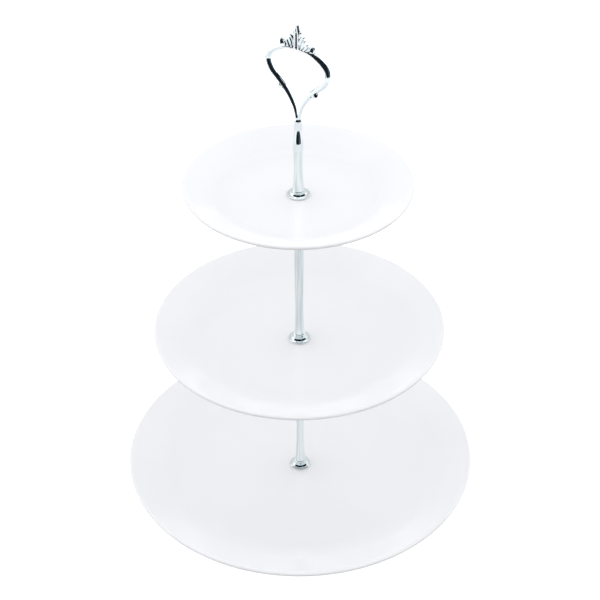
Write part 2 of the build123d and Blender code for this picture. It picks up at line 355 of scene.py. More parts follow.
def wheel_tree():
    tree, given, out = tree_with("turned on the wheel", (
        ("Geometry", "Geometry"), ("Steps Round", "Int"), ("Skin", "Material"),
        ("Foot", "Material"), ("Bare Below", "Float")))
    path = add(tree, "GeometryNodeCurvePrimitiveCircle", {
        "Resolution": given["Steps Round"], "Radius": PATH_R * MM})
    sweep = add(tree, "GeometryNodeCurveToMesh", {
        "Curve": path.outputs["Curve"], "Profile Curve": given["Geometry"]})
    weld = add(tree, "GeometryNodeMergeByDistance", {
        "Geometry": sweep.outputs["Mesh"], "Distance": WELD * MM})
    angle = add(tree, "GeometryNodeInputMeshEdgeAngle")
    sharp = add(tree, "FunctionNodeCompare", {
        "A": angle.outputs["Unsigned Angle"], "B": CRISP_ANGLE}, operation="GREATER_THAN")
    crisp = add(tree, "GeometryNodeSetShadeSmooth", {
        "Geometry": weld.outputs["Geometry"], "Selection": sharp.outputs["Result"],
        "Shade Smooth": False}, domain="EDGE")
    skin = add(tree, "GeometryNodeSetMaterial", {
        "Geometry": crisp.outputs["Geometry"], "Material": given["Skin"]})
    place = add(tree, "GeometryNodeInputPosition")
    height = add(tree, "ShaderNodeSeparateXYZ", {"Vector": place.outputs["Position"]})
    low = add(tree, "FunctionNodeCompare", {
        "A": height.outputs["Z"], "B": given["Bare Below"]}, operation="LESS_THAN")
    foot = add(tree, "GeometryNodeSetMaterial", {
        "Geometry": skin.outputs["Geometry"], "Selection": low.outputs["Result"],
        "Material": given["Foot"]})
    real = add(tree, "GeometryNodeRealizeInstances", {"Geometry": foot.outputs["Geometry"]})
    tree.links.new(real.outputs["Geometry"], out.inputs["Geometry"])
    return tree


wheel = wheel_tree()
print(wheel.name, "has", len(wheel.nodes), "nodes")

# %% [markdown]
# A tree works on a curve or a mesh object. The modifier's inputs are set, the result is read back
# as a plain mesh, and the curve goes. So every piece is an ordinary mesh at the origin.

# %% From a line to a plain mesh


def grown(name, source, tree, values):
    """The plain mesh object that a tree makes from a curve or mesh object."""
    nodes = source.modifiers.new("grow", "NODES")
    nodes.node_group = tree
    for item in tree.interface.items_tree:
        if item.in_out == "INPUT" and item.name in values:
            nodes[item.identifier] = values[item.name]
    bpy.context.view_layer.update()
    shaped = source.evaluated_get(bpy.context.evaluated_depsgraph_get())
    mesh = bpy.data.meshes.new_from_object(shaped)
    piece = bpy.data.objects.new(name, mesh)
    mesh.name = name
    bpy.context.scene.collection.objects.link(piece)
    source.modifiers.remove(nodes)
    bpy.data.objects.remove(source)
    return piece


def line_object(points, closed=False, radii=None):
    """A curve object through points given in metres."""
    curve = bpy.data.curves.new("line", "CURVE")
    curve.dimensions = "3D"
    spline = curve.splines.new("POLY")
    spline.points.add(len(points) - 1)
    for knot, point, radius in zip(spline.points, points, radii or [1.0] * len(points)):
        knot.co = (*point, 1)
        knot.radius = radius
    spline.use_cyclic_u = closed
    holder = bpy.data.objects.new("line", curve)
    bpy.context.scene.collection.objects.link(holder)
    return holder


def turned(name, section, skin, steps_round=96, closed=False, foot=None, bare_below=-1.0):
    """The section (mm) once round the Z axis; closed for a piece with a hole through it."""
    outline = line_object([((r - PATH_R) * MM, -z * MM, 0) for r, z in section], closed)
    piece = grown(name, outline, wheel, {
        "Steps Round": steps_round, "Skin": skin, "Foot": foot or skin,
        "Bare Below": bare_below * MM})
    mesh = bmesh.new()
    mesh.from_mesh(piece.data)
    bmesh.ops.recalc_face_normals(mesh, faces=mesh.faces)
    mesh.to_mesh(piece.data)
    mesh.free()
    print(name, len(piece.data.polygons), "faces")
    return piece


# %% [markdown]
# ## Plates
# A coupe plate has no separate rim. Its flat floor bends up into a straight flare that ends in a
# round lip, and the underside has a foot ring. The section goes round as a closed loop because
# the hub has a hole. Long straight runs are cut into short ones, so that the smooth shading of
# the curve doesn't creep into the flat floor.

# %% Section of a plate
HUB_T = 4.6  # thickness of the floor
LIP_T = 2.6  # and of the lip
HOLE_R = 4.0
INNER_FLARE = math.radians(26)
OUTER_FLARE = math.radians(28)
RING_FOOT_W = 2.4  # the foot ring where it stands
RING_ROOT_W = 5.0  # and where it leaves the underside
RING_SETBACK = 5.7  # from the start of the bend to the middle of the ring
RING_ROOT_FILLET, RING_FOOT_FILLET, HOLE_FILLET = 1.2, 0.8, 0.5
BARE_H = 0.55  # the glaze ends this far above the ring's foot


def cut(line, longest=5.0):
    """The same line with extra points wherever a straight run is longer than longest."""
    out = [line[0]]
    for a, b in zip(line, line[1:]):
        pieces = math.ceil(math.dist(a, b) / longest)
        out += [(a[0] + (b[0] - a[0]) * i / pieces, a[1] + (b[1] - a[1]) * i / pieces)
                for i in range(1, pieces + 1)]
    return out


def flare(lip_x, lip_z, side, base_z, angle):
    """A face of the wall: its corner with the flat face and its end on the lip.

    side is 1 for the inner face and -1 for the outer one.
    """
    end = (lip_x - side * LIP_T / 2 * math.sin(angle), lip_z + side * LIP_T / 2 * math.cos(angle))
    return (end[0] - (end[1] - base_z) / math.tan(angle), base_z), end


def plate_section(rim_r, depth, curve_r, foot_z, floor_z):
    """Half section of a coupe plate, closed, from the middle of the floor."""
    under = floor_z - HUB_T
    lip_x, lip_z = rim_r - LIP_T / 2, floor_z + depth - LIP_T / 2
    corner, inner_end = flare(lip_x, lip_z, 1, floor_z, INNER_FLARE)
    outer_corner, outer_end = flare(lip_x, lip_z, -1, under, OUTER_FLARE)
    ring_r = outer_corner[0] - (curve_r + HUB_T) * math.tan(OUTER_FLARE / 2) - RING_SETBACK
    facing = (INNER_FLARE + OUTER_FLARE) / 2
    tip = (lip_x + LIP_T / 2 * math.cos(facing), lip_z + LIP_T / 2 * math.sin(facing))
    start = (corner[0] / 2, floor_z)
    inner = rounded([start, corner, inner_end], (curve_r,), 24)
    outer = rounded([
        outer_end, outer_corner,
        (ring_r + RING_ROOT_W / 2, under), (ring_r + RING_FOOT_W / 2, foot_z),
        (ring_r - RING_FOOT_W / 2, foot_z), (ring_r - RING_ROOT_W / 2, under),
        (HOLE_R, under), (HOLE_R, floor_z), start],
        (curve_r + HUB_T, RING_ROOT_FILLET, RING_FOOT_FILLET, RING_FOOT_FILLET, RING_ROOT_FILLET,
         HOLE_FILLET, HOLE_FILLET), 8)
    return cut(joined(inner, arc(inner_end, tip, outer_end, 18), outer))[:-1]


print("a wall flares", round(math.degrees(INNER_FLARE)), "degrees inside")

# %% [markdown]
# Rim, foot and height come from the CAD node. Only the depth of the dish and the radius of the
# bend, where the floor turns up into the flare, are told for each tier.

# %% Three plates
for tier, depth, curve_r in (("bottom", 15.0, 45.0), ("middle", 13.6, 35.0), ("top", 10.2, 18.0)):
    node = "plate_" + tier
    foot_z, rim_z = low_high(node)
    section = plate_section(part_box(node)[1].x / MM, depth, curve_r, foot_z, rim_z - depth)
    dish = turned("porcelain_plate_" + tier, section, porcelain, 256, closed=True,
                  foot=clay, bare_below=foot_z + BARE_H)
    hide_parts(node)
    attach(dish, tier + "_plate")

# %% [markdown]
# ## Washers and gaskets
# Every tier is clamped the same way: a soft ring on the glaze, then a pressed washer. Its thin
# flange climbs a little to a steep round boss, whose flat top carries the rod.

# %% Washers and gaskets
STUD_HOLE_R = 2.25
SEAM_R = 5.0  # a closed section starts and ends in the middle of its flat side
GASKET_R = 7.2
WASHER_R = 7.6
FLANGE_T = 0.6  # at the washer's edge
BOSS_FOOT = (5.75, 0.9)
BOSS_TOP = (4.9, 2.2)
WASHER_FILLETS = (0.15, 0.25, 0.3, 0.25, 0.15, 0.1)


def washer_section(flat_z, up):
    """Pressed washer in half section; up is 1 with the boss above its flat side, -1 below."""
    ring = rounded([
        (SEAM_R, 0), (WASHER_R, 0), (WASHER_R, FLANGE_T), BOSS_FOOT, BOSS_TOP,
        (STUD_HOLE_R, BOSS_TOP[1]), (STUD_HOLE_R, 0), (SEAM_R, 0)], WASHER_FILLETS)
    return [(r, flat_z + up * z) for r, z in cut(ring, 0.8)[:-1]]


for tier in ("bottom", "middle", "top"):
    for side, up in (("below", -1), ("above", 1)):
        node = f"gasket_{side}_{tier}"
        low, high = low_high(node)
        ring = rounded([(SEAM_R, low), (GASKET_R, low), (GASKET_R, high), (STUD_HOLE_R, high),
                        (STUD_HOLE_R, low), (SEAM_R, low)], (0.2, 0.2, 0.1, 0.1))
        soft_ring = turned("soft_" + node, ring[:-1], vinyl, 72, closed=True)
        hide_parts(node)
        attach(soft_ring, "stem")
        node = f"washer_{side}_{tier}"
        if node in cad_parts:
            low, high = low_high(node)
            section = washer_section(low if up > 0 else high, up)
            cap = turned("pressed_" + node, section, pressed_chrome, 96, closed=True)
            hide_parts(node)
            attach(cap, "stem")

# %% [markdown]
# ## Rods
# The rods are turned and then plated. At a long rod's foot two beads stack like rings, the shaft
# flares in to a slim waist, swells slowly, and a last bead meets the washer above. The short rod
# has one bead and a plain top. Both ends are tapped, so the section starts and ends on the axis,
# inside the rod.

# %% Rods
TAP_R = 2.05  # the tapped hole at each end
TAP_DEPTH = 9.0
BEAD_R = 4.2
BEAD_H = 1.6
BEAD_ROOT_R = 3.6
# Radius of the shaft, and height above the rod's foot.
LONG_SHAFT = ((3.95, 3.2), (3.3, 8), (2.7, 26), (3.1, 55), (3.42, 90))
SHORT_SHAFT = ((3.95, 1.6), (3.15, 11), (2.85, 20))
LONG_TOP_R, SHORT_TOP_R = 3.5, 3.4


def bead(z):
    """A half round ring whose lower edge is at the height z."""
    return arc((BEAD_ROOT_R, z), (BEAD_R, z + BEAD_H / 2), (BEAD_ROOT_R, z + BEAD_H), 12)


def turned_rod(node, body, foot_beads, shaft, top_beads):
    """A rod between its CAD node's ends; the beads are how many are stacked at each end."""
    foot, top = low_high(node)
    beads = [bead(foot + i * BEAD_H) for i in range(foot_beads)]
    beads_above = [bead(top - (i + 1) * BEAD_H) for i in reversed(range(top_beads))]
    section = joined(
        [(0, foot + TAP_DEPTH), (TAP_R, foot + TAP_DEPTH), (TAP_R, foot)], *beads,
        shaft, *beads_above,
        [(TAP_R, top), (TAP_R, top - TAP_DEPTH), (0, top - TAP_DEPTH)])
    rod = turned("chrome_" + node, section, turned_chrome)
    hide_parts(node)
    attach(rod, body)


for node in ("rod_lower", "rod_middle"):
    foot, top = low_high(node)
    shaft = smooth([(r, foot + z) for r, z in LONG_SHAFT] + [(LONG_TOP_R, top - BEAD_H)], 14)
    turned_rod(node, "stem", 2, shaft, 1)
foot, top = low_high("rod_upper")
shaft = smooth([(r, foot + z) for r, z in SHORT_SHAFT] + [(SHORT_TOP_R, top)], 14)
turned_rod("rod_upper", "handle", 1, shaft, 0)

# %% [markdown]
# ## Studs
# Threaded studs join the rods through each plate. A thread is a ridge that follows a helix, so
# Geometry Nodes sweep a small diamond along a spiral and set it half into a plain core.

# %% A tree for a thread
THREAD_PITCH = 0.7
STUD_R = 2.0  # to the crest of the thread


def thread_tree():
    tree, given, out = tree_with("thread on a stud", (
        ("Geometry", "Geometry"), ("Length", "Float"), ("Pitch", "Float"),
        ("Major Radius", "Float"), ("Skin", "Material")))
    turns = add(tree, "ShaderNodeMath", {0: given["Length"], 1: given["Pitch"]},
                operation="DIVIDE")
    half = add(tree, "ShaderNodeMath", {0: given["Pitch"], 1: 0.5}, operation="MULTIPLY")
    path_r = add(tree, "ShaderNodeMath", {0: given["Major Radius"], 1: half.outputs[0]},
                 operation="SUBTRACT")
    helix = add(tree, "GeometryNodeCurveSpiral", {
        "Resolution": 20, "Rotations": turns.outputs[0], "Start Radius": path_r.outputs[0],
        "End Radius": path_r.outputs[0], "Height": given["Length"]})
    upright = add(tree, "GeometryNodeSetCurveNormal", {
        "Curve": helix.outputs["Curve"]}, mode="Z_UP")
    ridge = add(tree, "GeometryNodeCurvePrimitiveCircle", {
        "Resolution": 4, "Radius": half.outputs[0]})
    thread = add(tree, "GeometryNodeCurveToMesh", {
        "Curve": upright.outputs["Curve"], "Profile Curve": ridge.outputs["Curve"],
        "Fill Caps": True})
    skin = add(tree, "GeometryNodeSetMaterial", {
        "Geometry": thread.outputs["Mesh"], "Material": given["Skin"]})
    real = add(tree, "GeometryNodeRealizeInstances", {"Geometry": skin.outputs["Geometry"]})
    tree.links.new(real.outputs["Geometry"], out.inputs["Geometry"])
    return tree


threads = thread_tree()
print(threads.name, "has", len(threads.nodes), "nodes")

# %% Three studs


def one_mesh(name, pieces):
    """Joins plain mesh objects, which are already in place, into the first one."""
    for piece in bpy.context.selected_objects:
        piece.select_set(False)
    for piece in pieces:
        piece.select_set(True)
    bpy.context.view_layer.objects.active = pieces[0]
    with bpy.context.temp_override(active_object=pieces[0], selected_editable_objects=pieces):
        bpy.ops.object.join()
    pieces[0].name = name
    pieces[0].data.name = name
    return pieces[0]


for node, body in (("stud_middle", "stem"), ("stud_top", "top_stud"), ("stud_handle", "handle")):
    low, high = low_high(node)
    core_r = STUD_R - THREAD_PITCH / 2
    core = turned("core", [(0, low), (core_r, low), (core_r, high), (0, high)], zinc, 32)
    seed = line_object([(0, 0, 0), (0, 0, MM)])
    ridge = grown("ridge", seed, threads, {
        "Length": (high - low - THREAD_PITCH) * MM, "Pitch": THREAD_PITCH * MM,
        "Major Radius": STUD_R * MM, "Skin": zinc})
    for corner in ridge.data.vertices:
        corner.co.z += (low + THREAD_PITCH / 2) * MM
    stud = one_mesh("threaded_" + node, [core, ridge])
    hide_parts(node)
    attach(stud, body)
    print(stud.name, len(stud.data.polygons), "faces")

# %% [markdown]
# ## The crown handle
# The handle is one zinc casting. Two arms leave the neck, swing out to a shoulder and meet in an
# arch. Each carries a small trumpet leaf, and a fan of petals stands on the arch. All of these
# are bars that follow a line, so one tree sweeps them. The bar's section is a superellipse: its
# exponent runs from a soft diamond, through an ellipse, to a rounded box.

# %% Bars that follow a line


def bar_tree():
    tree, given, out = tree_with("bar along a line", (
        ("Geometry", "Geometry"), ("Steps Round", "Int"), ("Thickness", "Float"),
        ("Exponent", "Float"), ("Skin", "Material")))
    ring = add(tree, "GeometryNodeCurvePrimitiveCircle", {
        "Resolution": given["Steps Round"], "Radius": 1.0})
    place = add(tree, "GeometryNodeInputPosition")
    along = add(tree, "ShaderNodeSeparateXYZ", {"Vector": place.outputs["Position"]})
    power = add(tree, "ShaderNodeMath", {0: 2.0, 1: given["Exponent"]}, operation="DIVIDE")

    def pulled(value, reach):
        """sign(value) * |value| ** power * reach"""
        size = add(tree, "ShaderNodeMath", {0: value}, operation="ABSOLUTE")
        bent = add(tree, "ShaderNodeMath", {0: size.outputs[0], 1: power.outputs[0]},
                   operation="POWER")
        sign = add(tree, "ShaderNodeMath", {0: value}, operation="SIGN")
        both = add(tree, "ShaderNodeMath", {0: bent.outputs[0], 1: sign.outputs[0]},
                   operation="MULTIPLY")
        full = add(tree, "ShaderNodeMath", {0: both.outputs[0], 1: reach}, operation="MULTIPLY")
        return full.outputs[0]

    moved = add(tree, "ShaderNodeCombineXYZ", {
        "X": pulled(along.outputs["X"], given["Thickness"]), "Y": pulled(along.outputs["Y"], 1.0)})
    profile = add(tree, "GeometryNodeSetPosition", {
        "Geometry": ring.outputs["Curve"], "Position": moved.outputs["Vector"]})
    level = add(tree, "GeometryNodeSetCurveNormal", {
        "Curve": given["Geometry"], "Normal": (0, 1, 0)}, mode="FREE")
    radius = add(tree, "GeometryNodeInputRadius")
    bar = add(tree, "GeometryNodeCurveToMesh", {
        "Curve": level.outputs["Curve"], "Profile Curve": profile.outputs["Geometry"],
        "Scale": radius.outputs[0], "Fill Caps": True})
    skin = add(tree, "GeometryNodeSetMaterial", {
        "Geometry": bar.outputs["Mesh"], "Material": given["Skin"]})
    real = add(tree, "GeometryNodeRealizeInstances", {"Geometry": skin.outputs["Geometry"]})
    tree.links.new(real.outputs["Geometry"], out.inputs["Geometry"])
    return tree


bars = bar_tree()
print(bars.name, "has", len(bars.nodes), "nodes")

# %% [markdown]
# A bar is drawn in the plane of the loop, upwards from the top of the neck. It only needs its
# line and a few radii, which are spread evenly along it. A petal's end is closed by a dome.

# %% One bar
NECK_L = 21.0
TIP_R = 0.04  # the last ring of a dome; at zero it would lose its direction
DOME_STEPS = 6
BAR_STEPS = 36
neck_z = low_high("handle_crown")[0]
loop_z = neck_z + NECK_L


def spread(values, count):
    """count values that run evenly through the given ones."""
    last = len(values) - 1
    out = []
    for i in range(count):
        at = last * i / (count - 1)
        k = min(int(at), last - 1)
        out.append(values[k] + (values[k + 1] - values[k]) * (at - k))
    return out


def bar(line, radii, thickness=1.0, exponent=2.0, closed=False):
    """Bar along (x, z) points above the neck, in millimetres; the radii are spread along it.

    thickness is the bar's depth from front to back, as a share of its width in the loop's plane.
    """
    widths = [r * MM for r in spread(radii, len(line))]
    path = line_object([(x * MM, 0, (loop_z + z) * MM) for x, z in line], closed, widths)
    return grown("bar", path, bars, {
        "Steps Round": BAR_STEPS, "Thickness": thickness, "Exponent": exponent,
        "Skin": cast_chrome})


def round_end(radii, line):
    """The line and its radii, with one more run that closes the bar's end like a dome."""
    tip, before = Vector(line[-1]), Vector(line[-2])
    way = (tip - before).normalized()
    full = radii[-1]
    turns = [math.pi / 2 * i / DOME_STEPS for i in range(1, DOME_STEPS + 1)]
    dome = [tuple(tip + way * (full * (math.sin(t) - 1))) for t in turns]
    body = [p for p in line if (Vector(p) - tip).length > full]
    closing = [max(TIP_R, full * math.cos(t)) for t in turns]
    return body + dome, spread(radii, len(body)) + closing


print("the loop starts", round(loop_z, 2), "mm up")

# %% [markdown]
# The arms are square bars set on edge, with soft corners. Each shows the light as flat stripes,
# one dark and one bright. The petals are rounder, and lie so close that only grooves are left
# between them. The middle pair stands upright with an open slot between, on whose floor lies a
# thin vein. The others lean outwards, so one flank of every groove faces the dark side of the
# room. The middle pair is flatter and keeps its radius: a taper would mirror the dark side all
# over. At both ends of the fan a ring with a thin floor makes a hollow curl.

# %% Lines of the handle
ARM = ((0.5, -1.5), (2.54, 8.98), (7.62, 18.2), (13.63, 24.98), (20.0, 31.3), (22.6, 38.4),
       (20.0, 44.3), (10.8, 50.0), (0.0, 51.3))
ARM_R = (1.15, 1.5, 1.75, 1.95, 2.1, 2.2, 2.45, 2.2, 1.5)
ARM_THICKNESS, ARM_EXPONENT = 0.92, 1.26
LEAF = ((5.8, 15.4), (8.6, 18.8), (11.2, 21.3), (13.8, 22.9))
LEAF_R = (0.8, 0.9, 1.2, 2.2)
TENDRIL = ((8.6, 23.2), (12.0, 26.4), (16.0, 29.9))
TENDRIL_R = (0.35, 0.5, 0.35)
PETALS = (  # from the middle outwards: line from the root, radii, exponent
    (((1.35, 50.2), (1.35, 56.0), (1.15, 60.5), (0.75, 64.0), (0.2, 67.3)),
     (1.15, 1.15, 1.15, 1.1, 0.9), 2.4),
    (((1.6, 57.0), (1.95, 60.0), (2.4, 62.9)), (0.8, 1.05, 1.0), 1.6),
    (((1.6, 52.4), (2.3, 56.2), (3.7, 58.7), (5.5, 60.0)), (0.8, 1.05, 1.15, 1.0), 1.6),
    (((3.3, 50.7), (4.0, 54.2), (4.7, 56.2), (5.9, 57.9)), (1.05, 1.1, 1.1, 1.0), 1.6),
    (((5.55, 50.2), (6.2, 52.8), (7.8, 55.9)), (1.15, 1.2, 1.0), 1.6),
    (((7.9, 49.8), (8.5, 52.0), (9.5, 54.6)), (1.1, 1.1, 1.0), 1.6))
PETAL_THICKNESS = 1.35
VEIN = ((0.0, 50.2), (0.0, 57.0), (0.0, 62.0))
VEIN_R = (0.8, 0.6, 0.3)
CURL_AT = (11.1, 52.6)
CURL_WIDE, CURL_TALL = 1.5, 2.7  # half sizes of the ring's centre line
CURL_LEAN = math.radians(18)
CURL_RIM_R = (0.5, 0.5)
CURL_DEPTH = 2.2  # thickness of the rim, as a share of its width
CURL_FLOOR_R = (0.7, 1.2, 0.7)
THIN = 0.3  # thickness of floors and vein, as a share of their width
CURL_STEPS = 40
print(len(PETALS), "petals to a side")

# %% Arms, leaves and petals


def curl_point(side, across, up):
    """A point of the leaning curl, from its own middle."""
    return (side * (CURL_AT[0] + across * math.cos(CURL_LEAN) + up * math.sin(CURL_LEAN)),
            CURL_AT[1] - across * math.sin(CURL_LEAN) + up * math.cos(CURL_LEAN))


parts = [bar(smooth(VEIN, 8), VEIN_R, THIN)]
for side in (1, -1):
    line = smooth([(side * x, z) for x, z in ARM], 14)
    parts.append(bar(line, ARM_R, ARM_THICKNESS, ARM_EXPONENT))
    parts.append(bar(smooth([(side * x, z) for x, z in LEAF], 8), LEAF_R))
    parts.append(bar(smooth([(side * x, z) for x, z in TENDRIL], 8), TENDRIL_R))
    for way, radii, exponent in PETALS:
        line, widths = round_end(radii, smooth([(side * x, z) for x, z in way], 12))
        parts.append(bar(line, widths, PETAL_THICKNESS, exponent))
    turns = [math.tau * i / CURL_STEPS for i in range(CURL_STEPS)]
    rim = [curl_point(side, CURL_WIDE * math.cos(t), CURL_TALL * math.sin(t)) for t in turns]
    parts.append(bar(rim, CURL_RIM_R, CURL_DEPTH, closed=True))
    floor = [curl_point(side, 0, up) for up in (-CURL_TALL, 0, CURL_TALL)]
    parts.append(bar(smooth(floor, 6), CURL_FLOOR_R, THIN))
print("bars of the loop:", len(parts))

# %% [markdown]
# ## One cast skin
# A casting has no seams and no sharp inner corners. A voxel remesh joins the crossing bars into
# one closed skin, and a few rounds of smoothing relax it, which also gives soft fillets.

# %% The loop's skin
VOXEL = 0.16
RELAX_ROUNDS = 7


def one_skin(name, pieces):
    """Joins the bars, replaces them by one closed skin and relaxes it."""
    piece = one_mesh(name, pieces)
    remesh = piece.modifiers.new("skin", "REMESH")
    remesh.mode = "VOXEL"
    remesh.voxel_size = VOXEL * MM
    relax = piece.modifiers.new("relax", "SMOOTH")
    relax.factor = 0.5
    relax.iterations = RELAX_ROUNDS
    bpy.context.view_layer.update()
    shaped = piece.evaluated_get(bpy.context.evaluated_depsgraph_get())
    mesh = bpy.data.meshes.new_from_object(shaped)
    piece.modifiers.clear()
    old = piece.data
    piece.data = mesh
    bpy.data.meshes.remove(old)
    mesh.name = name
    mesh.materials.clear()
    mesh.materials.append(cast_chrome)
    for face in mesh.polygons:
        face.use_smooth = True
    return piece


loop = one_skin("crown_loop", parts)
print("one skin:", len(loop.data.polygons), "faces")

# %% [markdown]
# ## Hollows
# The trumpet leaves are open at the end. With the skin closed, their hollow is pressed in:
# points inside a circle move along the pressing direction, most at its middle.

# %% Pressing the trumpets
MOUTH_AT = LEAF[-1]
MOUTH_R = 1.9
MOUTH_DEPTH = 2.4
PUSH = (-2.8, -1.6)  # inwards and down, on the right side
NEAR = 1.6  # only points this near are moved, in mouth radii
DEEP = 0.8  # a point inside this share of the mouth lies deep


def press(piece, side):
    """Presses the mouth of the leaf on that side and returns the points that went deep."""
    push = Vector((side * PUSH[0], 0, PUSH[1])).normalized()
    middle = Vector((side * MOUTH_AT[0], 0, loop_z + MOUTH_AT[1])) * MM
    deep = set()
    for corner in piece.data.vertices:
        gap = corner.co - middle
        off = (gap - push * gap.dot(push)).length / (MOUTH_R * MM)
        if off < 1 and gap.length < NEAR * MOUTH_R * MM:
            corner.co += push * MOUTH_DEPTH * MM * (1 - off**2) ** 0.8
            if off < DEEP:
                deep.add(corner.index)
    return deep


hollows = press(loop, 1) | press(loop, -1)
print("points in the leaves' hollows:", len(hollows))

# %% [markdown]
# ## Painted shade in the grooves
# The casting's grooves are painted dark, as shade. A copy of the skin is averaged
# a few times, and where it ends up above the real skin, the skin has a groove. Each point keeps
# that depth as an attribute, its share of painted shade. The slot, the curls and the trumpets get
# the full shade.

# %% Depth of the grooves
FULL_DEPTH = 0.12  # a groove this deep gets the full painted shade
BLUR_ROUNDS = 6
SLOT_HALF_W = 0.4
CURL_SHARE = 0.95  # the part of the curl inside its rim
CURL_HALF_T = 0.8


def always_deep(place):
    """Whether a point lies in the slot or on the floor of a curl; these get the full painted
    shade.
    """
    above = place.z / MM - loop_z
    x, z = abs(place.x) / MM - CURL_AT[0], above - CURL_AT[1]
    wide = x * math.cos(CURL_LEAN) - z * math.sin(CURL_LEAN)
    tall = x * math.sin(CURL_LEAN) + z * math.cos(CURL_LEAN)
    in_slot = abs(place.x) < SLOT_HALF_W * MM and VEIN[0][1] < above < VEIN[-1][1]
    in_curl = math.hypot(wide / CURL_WIDE, tall / CURL_TALL) < CURL_SHARE
    return in_slot or (in_curl and abs(place.y) < CURL_HALF_T * MM)


def mark_recess_shade(mesh, hollows):
    """Writes how deep each point lies in a groove, 0 to 1, as an attribute: the share of painted
    shade.
    """
    near = [[] for _ in mesh.vertices]
    for edge in mesh.edges:
        a, b = edge.vertices
        near[a].append(b)
        near[b].append(a)
    places = [corner.co.copy() for corner in mesh.vertices]
    soft = places
    for _ in range(BLUR_ROUNDS):
        soft = [sum((soft[j] for j in others), Vector()) / len(others) for others in near]
    deep = []
    for i, corner in enumerate(mesh.vertices):
        depth = (soft[i] - places[i]).dot(corner.normal) / (FULL_DEPTH * MM)
        # the trumpets' hollows, the slot and the curls' floors get the full painted shade
        full = i in hollows or always_deep(places[i])
        deep.append(1.0 if full else max(0.0, min(1.0, depth)))
    # the depth sets how much shade is painted there
    note = mesh.attributes.new("recess_shade", "FLOAT", "POINT")
    note.data.foreach_set("value", deep)
    return sum(d > 0.5 for d in deep)


print("points in recesses:", mark_recess_shade(loop.data, hollows))

# %% [markdown]
# ## The neck
# The casting's neck stands on the short rod. It swells a little above its foot, tapers upwards
# like a bottle, and ends in a low collar from which the arms grow. It is round, so it comes from
# the wheel like the rods, and then joins the loop as one piece.

# %% Neck and handle
# Each point is a radius and a height.
NECK_FOOT = (3.25, neck_z)
BULB = (3.35, neck_z + 2.2)
TAPER_TOP = (2.4, neck_z + 15.2)
COLLAR = ((2.65, loop_z + 0.2), (1.8, loop_z + 1.6), (0, loop_z + 1.7))
neck = joined(
    [(0, neck_z + TAP_DEPTH), (TAP_R, neck_z + TAP_DEPTH), (TAP_R, neck_z), NECK_FOOT],
    smooth([NECK_FOOT, BULB], 8, start=(0.3, 1), end=(0, 1)),
    smooth([BULB, TAPER_TOP], 24, start=(0, 1), end=(0, 1)),
    rounded([TAPER_TOP, *COLLAR], (0.15, 0.3)))
neck = turned("neck", cut(neck, 1.5), cast_chrome)
handle = one_mesh("crown_handle", [loop, neck])
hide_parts("handle_crown")
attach(handle, "handle")
print("handle:", len(handle.data.polygons), "faces")

# %% [markdown]
# ## What stays from the CAD
# The base screw is out of sight under the bottom plate. Its CAD solid has the right dome and
# slot, so it only gets the plating.

# %% Base screw
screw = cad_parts["base_screw"]
screw.data.materials.clear()
screw.data.materials.append(turned_chrome)
print("base screw:", len(screw.data.polygons), "faces")

# %% [markdown]
# ## Studio
# A white table in an even white room shows porcelain softly. Chrome only looks like chrome when
# it also has something dark to mirror. So mirror rays see a dark oval with a pale slit, in front,
# where the dark side of a room would be, a bright soft box on the left, and a dimmer backdrop
# whose foot is in shade. The world's shader reads the direction of a ray as azimuth and
# elevation, and paints each of these as a field with soft edges.

# %% Directions in the room
FRONT_AZ = 45.0  # middle of the dark oval, from -Y towards +X
front = math.radians(FRONT_AZ)
world = bpy.data.worlds.new("white studio")
bpy.context.scene.world = world
world.use_nodes = True
room = world.node_tree
room.nodes.clear()


def math_node(operation, *values):
    """The result of one step of arithmetic in the room's shader."""
    return add(room, "ShaderNodeMath", dict(enumerate(values)), operation=operation).outputs[0]


def step(value, at, soft):
    """0 below the value at and 1 above it, with a soft change on both sides."""
    return add(room, "ShaderNodeMapRange", {
        "Value": value, "From Min": at - soft, "From Max": at + soft},
        interpolation_type="SMOOTHSTEP").outputs["Result"]


def between(value, low, high, soft):
    """1 inside the range and 0 outside it, with soft edges."""
    return math_node("SUBTRACT", step(value, low, soft), step(value, high, soft))


look = add(room, "ShaderNodeTexCoord").outputs["Generated"]
height = add(room, "ShaderNodeSeparateXYZ", {"Vector": look}).outputs["Z"]
toward = add(room, "ShaderNodeVectorMath", {
    0: look, 1: (math.sin(front), -math.cos(front), 0)}, operation="DOT_PRODUCT").outputs["Value"]
aside = add(room, "ShaderNodeVectorMath", {
    0: look, 1: (math.cos(front), math.sin(front), 0)}, operation="DOT_PRODUCT").outputs["Value"]
azimuth = math_node("DEGREES", math_node("ARCTAN2", aside, toward))
off = math_node("ABSOLUTE", azimuth)
elevation = math_node("DEGREES", math_node("ARCSINE", height))
print("the front is at azimuth", FRONT_AZ)

# %% What stands in the room
GAP_FROM, GAP_TO = 14.0, 27.0  # the pale slit, in degrees from the middle of the oval
GAP_EDGE = 3.0
OVAL_EL = 14.0
OVAL_WIDE, OVAL_TALL = 88.0, 46.0  # half sizes, degrees
OVAL_EDGE = 0.05  # softness, as a share of the half sizes
BOX_FROM, BOX_TO = -136.0, -92.0  # the soft box on the left, from the oval's middle
BOX_LOW, BOX_HIGH = 4.0, 66.0
BACK_FROM = 138.0  # the backdrop
BACK_LOW, BACK_HIGH = 8.0, 48.0
LOW_FROM, LOW_TO = 120.0, -25.0  # the shaded foot of the backdrop
BOX_SOFT, BACK_SOFT, LOW_SOFT = (6.0, 5.0), (10.0, 6.0), (12.0, 5.0)  # across and up
across = math_node("DIVIDE", azimuth, OVAL_WIDE)
up = math_node("DIVIDE", math_node("SUBTRACT", elevation, OVAL_EL), OVAL_TALL)
reach = math_node("SQRT", math_node("ADD", math_node("MULTIPLY", across, across),
                                    math_node("MULTIPLY", up, up)))
dark = math_node("SUBTRACT", 1.0, step(reach, 1.0, OVAL_EDGE))
slit = between(azimuth, GAP_FROM, GAP_TO, GAP_EDGE)
